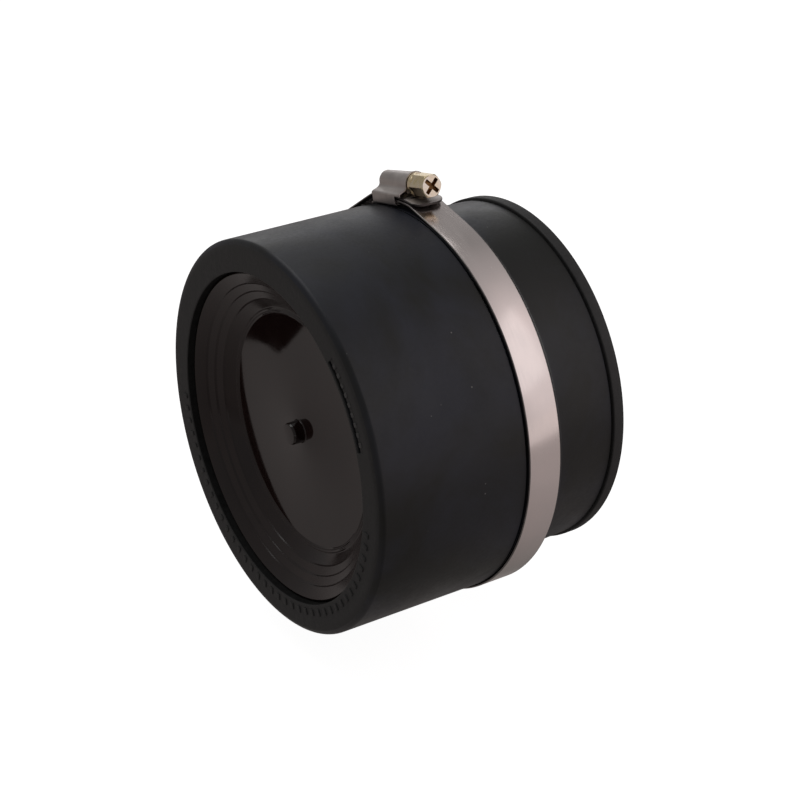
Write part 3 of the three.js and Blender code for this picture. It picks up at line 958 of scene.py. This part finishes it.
def tail_width(distance):
    """The share of its full width that the tail has at a distance from its round-cornered tip."""
    half = STRAP_WIDTH / 2
    if distance >= TAIL_CORNER:
        return 1
    reach = math.sqrt(TAIL_CORNER ** 2 - (TAIL_CORNER - distance) ** 2)
    return (half - TAIL_CORNER + reach) / half


def make_tail(looks):
    bm = bmesh.new()
    angles = angles_between(TAIL_START, TAIL_END, FINE_STEP)
    ends = [math.radians(TAIL_END - a) * UPPER_R for a in angles]
    path = [round_x(0, UPPER_R, a) for a in angles]
    swept(bm, path, strap_section(), lambda i: tail_width(ends[i]))
    tail = mesh_object("strap_tail", bm)
    bm = bmesh.new()
    for i in range(TAIL_SLOTS):
        slot_cutter(bm, math.degrees((SLOT_FIRST + i * SLOT_PITCH) / UPPER_R), UPPER_R)
    piece(cut(tail, bm), "tail", looks, ["band_tail"], strap_look_of)


def make_saddle(look):
    """The liner under the housing: an arc whose back tip bends down onto the strap."""
    bm = bmesh.new()
    path = []
    for angle in angles_between(SADDLE_TIP, SADDLE_END, FINE_STEP):
        rise = ramp(angle, (SADDLE_TIP + SADDLE_BEND) / 2, SADDLE_BEND - SADDLE_TIP)
        path.append(round_x(0, SADDLE_TIP_R + rise * (SADDLE_R - SADDLE_TIP_R), angle))
    swept(bm, path, strap_section(SADDLE_WIDTH, SADDLE_THICKNESS, SADDLE_EDGE))
    piece(mesh_object("saddle", bm), "clamp", [look], ["clamp_saddle"])


# Housing: sheet sections (across, height), run along the screw

def sheet(centre_line, thickness, offset=0):
    """A closed outline round an open centre line, moved sideways by an offset."""
    sides = ([], [])
    for i, point in enumerate(centre_line):
        along = centre_line[min(i + 1, len(centre_line) - 1)] - centre_line[max(i - 1, 0)]
        normal = Vector((along.y, -along.x)).normalized()
        sides[0].append(point + normal * (offset + thickness / 2))
        sides[1].append(point + normal * (offset - thickness / 2))
    return sides[0] + sides[1][::-1]


def arch_line():
    """Half of the arch from its foot, in a double curve, to its top; then its mirror image."""
    middle = ARCH_R - HOUSING_WALL / 2
    foot = SKIRT_HALF - HOUSING_WALL / 2
    half = [Vector((foot, FOOT_BOTTOM))]
    half += [p.to_2d() for p in interpolate_bezier(
        Vector((foot, FOOT_TOP, 0)),
        Vector((foot, FOOT_TOP + FOOT_STAND, 0)),
        Vector((middle, FOOT_TOP + FOOT_RISE, 0)),
        Vector((middle, AXIS_H, 0)),
        20,
    )]
    for k in range(1, ARCH_STEPS + 1):
        turn = math.pi / 2 * k / ARCH_STEPS
        half.append(Vector((middle * math.cos(turn), AXIS_H + middle * math.sin(turn))))
    return half + [Vector((-p.x, p.y)) for p in reversed(half[:-1])]


def widened(point, t):
    """The arch grows wider and higher from the back to the front, more so farther up."""
    growth = ARCH_WIDENING * (t - HOUSING_START) / (HOUSING_END - HOUSING_START)
    above = min(max((point.y - FOOT_TOP) / (AXIS_H - FOOT_TOP), 0), 1)
    return Vector((point.x * (1 + growth * above), -t, point.y + max(point.y - AXIS_H, 0) * growth))


def skirt_line(sign):
    side = SKIRT_HALF - HOUSING_WALL / 2
    bottom = SKIRT_BOTTOM + HOUSING_WALL / 2
    line = rounded([
        (side, FOOT_BOTTOM, 0),
        (side, bottom, 0.5 * MM),
        (SKIRT_HALF - FOLD_WIDTH, bottom, 0),
    ], 5)
    return [Vector((p.x * sign, p.y)) for p in line]


def run_sheet(bm, line, start, end, flare=0):
    """Runs a sheet section along the screw, with thinned ends and a flare at the front."""
    stations = [(start, RIM_SHARE, 0), (start + RIM_LENGTH, 1, 0)]
    for k in range(FLARE_STEPS):
        along = k / FLARE_STEPS
        stations.append((end - FLARE_LENGTH * (1 - along), 1, flare * ramp(along, 0.5, 1)))
    stations += [(end - RIM_LENGTH, 1, flare), (end, RIM_SHARE, flare)]
    rings = []
    for t, share, offset in stations:
        outline = sheet(line, HOUSING_WALL * share, offset)
        rings.append([CLAMP_PLACE @ widened(p, t) for p in outline])
    skin(bm, rings, closed=False)


def end_wall(bm, start, end, outer, hole_r):
    """A flat wall across the arch with a round hole for the screw."""
    drop = AXIS_H - END_WALL_BOTTOM
    rims = ([], [])
    for angle in full_circle(SMALL_STEPS):
        x, z = math.cos(math.radians(angle)), math.sin(math.radians(angle))
        reach = outer if z >= 0 else min(outer / max(abs(x), 1e-6), drop / -z)
        rims[0].append((x * reach, AXIS_H + z * reach))
        rims[1].append((x * hole_r, AXIS_H + z * hole_r))
    loops = ((0, start), (0, end), (1, end), (1, start))
    rings = [[CLAMP_PLACE @ Vector((x, -t, z)) for x, z in rims[side]] for side, t in loops]
    skin(bm, rings, closed=True)


def make_housing(look):
    bm = bmesh.new()
    run_sheet(bm, arch_line(), HOUSING_START, HOUSING_END, FRONT_FLARE)
    for sign in (1, -1):
        run_sheet(bm, skirt_line(sign), SKIRT_START, SKIRT_END)
    back_r = ARCH_R - HOUSING_WALL / 2
    front_r = back_r * (1 + ARCH_WIDENING)
    end_wall(bm, HOUSING_START + WALL_INSET, HOUSING_START + BACK_WALL, back_r, PILOT_HOLE_R)
    end_wall(bm, HOUSING_END - FRONT_WALL, HOUSING_END - WALL_INSET, front_r, NECK_HOLE_R)
    housing = mesh_object("housing_shell", bm, 40)
    piece(housing, "clamp", [look], ["clamp_housing"])


# Screw: made along X, which is then turned to point out of the housing's front

SCREW_PLACE = (
    CLAMP_PLACE
    @ Matrix.Translation((0, 0, AXIS_H))
    @ Matrix.Rotation(math.radians(-90), 4, "Z")
)


def thread_radius(x, angle):
    """The worm's radius: a flat crest, sloping flanks and a flat root, once a pitch."""
    phase = (x / SLOT_PITCH - angle / 360) % 1
    crest = 1 - min(max((abs(phase - 0.5) - THREAD_HALF_CREST) / THREAD_FLANK, 0), 1)
    fade = between(x, WORM_START + THREAD_MARGIN, WORM_END - THREAD_MARGIN, THREAD_FADE)
    return WORM_ROOT_R + (WORM_R - WORM_ROOT_R) * crest * fade


def thread_rings():
    circle = full_circle(SMALL_STEPS)
    rings = []
    for i in range(THREAD_STEPS + 1):
        x = WORM_START + (WORM_END - WORM_START) * i / THREAD_STEPS
        rings.append([round_x(x, thread_radius(x, angle), angle) for angle in circle])
    return rings


def shank_rings():
    back = rounded([(PILOT_START, 0, 0), (PILOT_START, PILOT_R, 0.3 * MM), (WORM_START, PILOT_R, 0)], 4)
    front = rounded([
        (WORM_END, NECK_R, 0),
        (COLLAR_START, NECK_R, 0.2 * MM),
        (COLLAR_START, COLLAR_R, 0.4 * MM),
        (COLLAR_END, COLLAR_R, 0.5 * MM),
        (COLLAR_END, 0, 0),
    ], 5)
    circle = full_circle(SMALL_STEPS)
    return about_x(back, circle) + thread_rings() + about_x(front, circle)


def hex_radius(angle):
    """Distance from the axis to the hexagon's outline, with flats up and down and blunt corners."""
    within = (angle + 30) % 60 - 30
    side = HEX_FLATS / 2 / math.cos(math.radians(within))
    return min(side, HEX_CORNER_R - HEX_EDGE)


def head_rings():
    """The hexagon from inside the collar to its end, where a cone turns its corners off."""
    angles = full_circle(SMALL_STEPS * 3)
    cone_start = HEX_END - HEX_CHAMFER
    places = [HEX_START] + [cone_start + HEX_CHAMFER * k / CONE_STEPS for k in range(CONE_STEPS + 1)]
    rings = [[Vector((HEX_START, 0, 0))]]
    for x in places:
        cone = HEX_CORNER_R - max(x - cone_start, 0) * HEX_CONE_SLOPE
        rings.append([round_x(x, min(hex_radius(angle), cone), angle) for angle in angles])
    return rings + [[Vector((HEX_END, 0, 0))]]


def recess_arm(turn):
    """A block with rounded corners that cuts one arm of the cross recess."""
    bm = bmesh.new()
    arm = rectangle(RECESS_LENGTH, RECESS_WIDTH, RECESS_CORNER)
    face = Matrix.Translation((HEX_END, 0, 0)) @ Matrix.Rotation(math.radians(90), 4, "Y")
    spin = Matrix.Rotation(math.radians(turn), 4, "Z")
    prism(bm, arm, -RECESS_DEPTH, MM, TINY, SCREW_PLACE @ face @ spin, 1)
    return bm


def screw_look_of(face):
    """Index 1 inside the cross recess, 2 on the end face, a painted highlight, 3 on the sides that face
    down, painted shade.
    """
    upright = SCREW_PLACE.inverted()
    local = upright @ face.center
    if local.x > HEX_END - 0.02 * MM:
        return 2
    # Sides that face down take the painted shade look
    if (upright.to_3x3() @ face.normal).z < -0.35 and local.x < HEX_END - HEX_CHAMFER:
        return 3
    inside = math.hypot(local.y, local.z) < RECESS_LENGTH / 2 + 0.05 * MM
    sunk = HEX_END - RECESS_DEPTH - 0.1 * MM < local.x
    return 1 if inside and sunk else 0


def make_screw(looks):
    bm = bmesh.new()
    skin(bm, [[SCREW_PLACE @ p for p in ring] for ring in shank_rings()], closed=False)
    shank = mesh_object("screw_worm", bm, 40)
    piece(shank, "screw", looks[:1], ["worm_screw"])
    bm = bmesh.new()
    skin(bm, [[SCREW_PLACE @ p for p in ring] for ring in head_rings()], closed=False)
    head = mesh_object("screw_head", bm, 25)
    for turn in (45, -45):
        cut(head, recess_arm(turn), crease=25)
    piece(head, "screw", looks, (), screw_look_of)


# Camera, floor and light

def make_camera():
    data = bpy.data.cameras.new("camera")
    data.lens = CAMERA_LENS
    data.sensor_width = 36
    data.clip_start = 0.01
    camera = bpy.data.objects.new("camera", data)
    camera.location = CAMERA_PLACE
    camera.rotation_euler = CAMERA_AIM.to_track_quat("-Z", "Y").to_euler()
    bpy.context.scene.collection.objects.link(camera)
    bpy.context.scene.camera = camera


def seen_or_lit(nodes, seen, lit):
    """Joins two shaders: one that is looked at and one that lights and is reflected."""
    looked_at = nodes.node("ShaderNodeLightPath").outputs["Is Camera Ray"]
    return nodes.node("ShaderNodeMixShader", {0: looked_at, 1: lit, 2: seen}).outputs[0]


def floor_seen(nodes):
    """What the camera sees of the floor: almost white, with a faint soft shadow."""
    white = nodes.node("ShaderNodeEmission", {"Strength": FLOOR_WHITE})
    pale = nodes.node("ShaderNodeBsdfDiffuse", {"Color": (FLOOR_SHADOW,) * 3 + (1,)})
    return nodes.node("ShaderNodeAddShader", {0: white.outputs[0], 1: pale.outputs[0]}).outputs[0]


def distance_from(nodes, middle, size):
    """How many of its own sizes a place on the floor lies from the middle of a spot."""
    inputs = {"Vector": nodes.place, "Location": middle, "Scale": (*size, 1)}
    shift = nodes.node("ShaderNodeMapping", inputs, vector_type="TEXTURE")
    return nodes.vector_math("LENGTH", shift.outputs[0])


def floor_lit(nodes):
    """What the pieces reflect: a warm grey table top, pale past its edge, with a shade and a spot."""
    tone = nodes.tone(nodes.vector_math("DOT_PRODUCT", nodes.place, EDGE_SIDE), FLOOR_TONES)
    shade = nodes.tone(distance_from(nodes, SHADED_PLACE, SHADED_SIZE), SHADED_TONES)
    ragged = nodes.math("ADD", distance_from(nodes, DARK_SPOT, DARK_SPOT_SIZE), nodes.noise(90))
    spot = nodes.tone(ragged, DARK_SPOT_TONES)
    for factor in (shade, spot, (FLOOR_BRIGHTNESS,) * 3):
        tone = nodes.vector_math("MULTIPLY", tone, factor)
    return nodes.node("ShaderNodeEmission", {"Color": tone}).outputs[0]


def make_floor():
    low = CAD_BOX[0].z - FLOOR_DROP
    bm = bmesh.new()
    half = FLOOR_SIZE / 2
    corners = ((-half, -half), (half, -half), (half, half), (-half, half))
    bm.faces.new([bm.verts.new((x, y, low)) for x, y in corners])
    floor = mesh_object("floor", bm)
    material = bpy.data.materials.new("floor_pale")
    material.use_nodes = True
    nodes = Nodes(material.node_tree)
    nodes.tree.nodes.remove(nodes.tree.nodes["Principled BSDF"])
    surface = seen_or_lit(nodes, floor_seen(nodes), floor_lit(nodes))
    nodes.tree.links.new(surface, nodes.tree.nodes["Material Output"].inputs["Surface"])
    floor.data.materials.append(material)


def glow(nodes, side, tones):
    """A tone by how far a direction turns towards one side."""
    return nodes.tone(nodes.vector_math("DOT_PRODUCT", nodes.place, side.normalized()), tones)


def make_world():
    """Soft studio light all round: bright to the front right, and a backdrop behind."""
    world = bpy.data.worlds.new("studio")
    world.use_nodes = True
    bpy.context.scene.world = world
    nodes = Nodes(world.node_tree, "Generated")
    front = glow(nodes, BRIGHT_SIDE, WORLD_TONES)
    both = nodes.vector_math("ADD", front, glow(nodes, BACKDROP_SIDE, BACKDROP_TONES))
    around = nodes.tree.nodes["Background"]
    nodes.tree.links.new(both, around.inputs["Color"])
    white = nodes.node("ShaderNodeBackground", {"Color": (1, 1, 1, 1)})
    surface = seen_or_lit(nodes, white.outputs[0], around.outputs[0])
    nodes.tree.links.new(surface, nodes.tree.nodes["World Output"].inputs["Surface"])


def softbox(name, place, aim, size, watts):
    data = bpy.data.lights.new(name, "AREA")
    data.shape = "RECTANGLE"
    data.size, data.size_y = size
    data.energy = watts
    light = bpy.data.objects.new(name, data)
    light.location = place
    light.rotation_euler = (Vector(aim) - Vector(place)).to_track_quat("-Z", "Y").to_euler()
    bpy.context.scene.collection.objects.link(light)


def make_lights():
    middle = (CAD_BOX[0] + CAD_BOX[1]) / 2
    for name, place, size, watts in SOFTBOXES:
        softbox(name, place, middle, size, watts)


def main():
    bpy.context.scene.view_settings.view_transform = "Standard"
    make_camera()
    make_floor()
    make_world()
    make_lights()
    rubber, face = rubber_look(), rubber_face_look()
    steel = strap_look()
    # Painted shade: darker steel for the strap's inner side and its edges
    dark = painted_shade_steel_look("strap_inside_painted_shade", (0.06, 0.055, 0.053), (0.11, 0.101, 0.098))
    shaded_edge_steel = painted_shade_steel_look("strap_edge_painted_shade", (0.2, 0.184, 0.178), (0.3, 0.28, 0.27))
    make_body([rubber, face, painted_shade_recess_look()])
    make_bars(face)
    make_panel_marks(rubber_scuff_look())
    make_plug(plug_look())
    make_strap([steel, dark, shaded_edge_steel])
    # The tail's top is steel painted darker, painted shade under the screw; its inner side and edges take
    # the darkest painted shade
    make_tail([painted_shade_steel_look("tail_top_painted_shade", (0.42, 0.385, 0.37), (0.6, 0.56, 0.54)), dark, dark])
    housing = housing_look()
    make_saddle(housing)
    make_housing(housing)
    make_screw([zinc_look(), zinc_recess_look(), painted_highlight_face_look(), zinc_shade_look()])


main()
